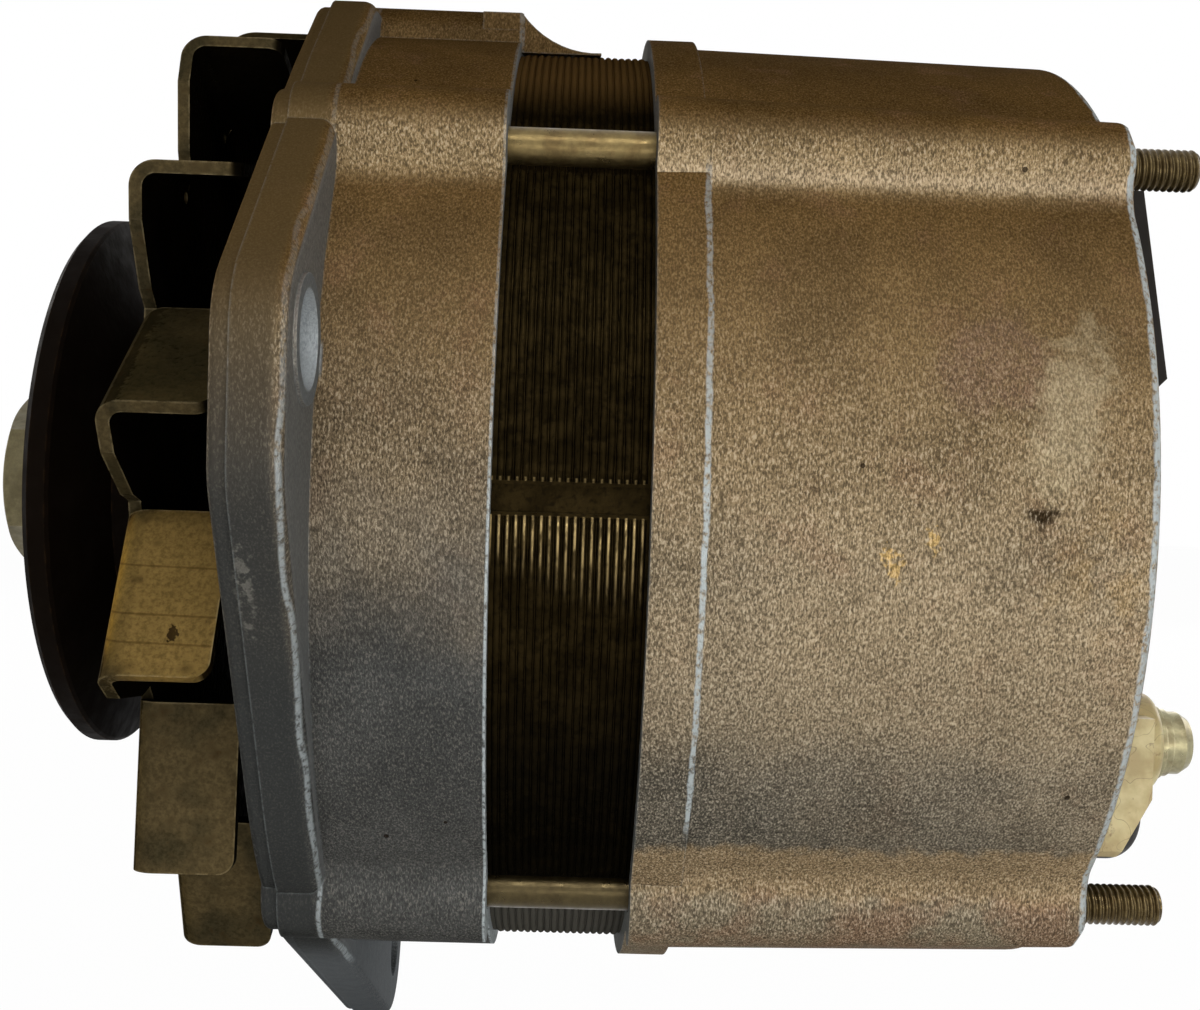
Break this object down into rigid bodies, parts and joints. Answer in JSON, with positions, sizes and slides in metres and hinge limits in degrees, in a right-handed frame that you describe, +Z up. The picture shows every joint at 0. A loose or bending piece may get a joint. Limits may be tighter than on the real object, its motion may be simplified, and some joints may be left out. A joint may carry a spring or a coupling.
{
  "type": "belt-driven alternator",
  "caption": "Belt-driven alternator with a bladed sheet fan, V-belt pulley, cast end housings, exposed stator core and sprung brushes.",
  "frame": {"origin": "centre of the rear stud circle on the shaft axis, in the plane of the rear face", "axes": "+X along the shaft towards the rear, pulley at -X; +Z up; -Y is the side that faces the viewer in the picture"},
  "size_m": [0.1595, 0.149, 0.1593],
  "materials": {
    "casting": "rough sand-grained casting, satin",
    "lamination": "dark varnished laminations, ridged",
    "zinc_steel": "zinc-yellow plated steel",
    "bright_steel": "bright turned steel",
    "bearing_steel": "ground bearing steel",
    "fan_sheet": "zinc-plated pressed sheet, aged",
    "black_steel": "black painted steel, worn",
    "plated_nut": "pale plated steel",
    "pole_iron": "forged iron, machined outside",
    "copper": "varnished copper winding",
    "ring_copper": "polished copper",
    "black_plastic": "black moulded plastic, matt",
    "cream_plastic": "aged cream moulded plastic",
    "carbon": "pressed carbon",
    "sheet_aluminium": "plain pressed aluminium",
    "diode_metal": "plated diode can"
  },
  "bodies": {
    "housing": {"drive_end_housing": "casting", "rear_housing": "casting", "stator_core": "lamination", "stator_windings": "copper", "stator_leads": "copper", "through_bolts": "zinc_steel", "front_bearing_outer_ring": "bearing_steel", "rear_bearing_outer_ring": "bearing_steel", "bearing_retainer": "bright_steel", "retainer_screws": "bright_steel", "positive_heat_sink": "sheet_aluminium", "negative_heat_sink": "sheet_aluminium", "power_diodes": "diode_metal", "diode_carrier": "black_plastic", "exciter_diodes": "black_plastic", "rectifier_insulators": "cream_plastic", "rectifier_screws": "bright_steel", "terminal_block": "cream_plastic", "terminal_washers": "bright_steel", "terminal_screw": "bright_steel", "warning_terminal": "black_plastic", "regulator": "black_plastic", "regulator_screws": "bright_steel", "brush_holder": "black_plastic", "brush_spring_inner": "bright_steel", "brush_spring_outer": "bright_steel"},
    "rotor": {"rotor_shaft": "bright_steel", "shaft_key": "bright_steel", "claw_pole_front": "pole_iron", "claw_pole_rear": "pole_iron", "coil_bobbin": "black_plastic", "field_coil": "copper", "slip_ring_insulator": "black_plastic", "slip_ring_inner": "ring_copper", "slip_ring_outer": "ring_copper", "fan": "fan_sheet", "fan_spacer": "bright_steel", "pulley": "black_steel", "pulley_washer": "bright_steel", "pulley_nut": "plated_nut", "front_bearing_inner_ring": "bearing_steel", "rear_bearing_inner_ring": "bearing_steel"},
    "front_balls": {"front_ball_set": "bearing_steel"},
    "rear_balls": {"rear_ball_set": "bearing_steel"},
    "inner_brush": {"brush_inner": "carbon"},
    "outer_brush": {"brush_outer": "carbon"}
  },
  "joints": [
    {"name": "rotor_spin", "type": "hinge", "parent": "housing", "child": "rotor", "pos_m": [-0.0667, 0, 0], "axis": [1, 0, 0], "continuous": true},
    {"name": "front_cage_spin", "type": "hinge", "parent": "housing", "child": "front_balls", "pos_m": [-0.102, 0, 0], "axis": [1, 0, 0], "continuous": true},
    {"name": "rear_cage_spin", "type": "hinge", "parent": "housing", "child": "rear_balls", "pos_m": [-0.009, 0, 0], "axis": [1, 0, 0], "continuous": true},
    {"name": "inner_brush_slide", "type": "slide", "parent": "housing", "child": "inner_brush", "axis": [0, 0, 1], "range_m": [0, 0.0015], "stiffness_N_per_m": 100, "springref_m": -0.012, "deforming": ["brush_spring_inner"]},
    {"name": "outer_brush_slide", "type": "slide", "parent": "housing", "child": "outer_brush", "axis": [0, 0, 1], "range_m": [0, 0.0015], "stiffness_N_per_m": 100, "springref_m": -0.012, "deforming": ["brush_spring_outer"]}
  ],
  "couplings": [
    {"joint": "front_cage_spin", "follows": "rotor_spin", "ratio": 0.3656},
    {"joint": "rear_cage_spin", "follows": "rotor_spin", "ratio": 0.384}
  ]
}
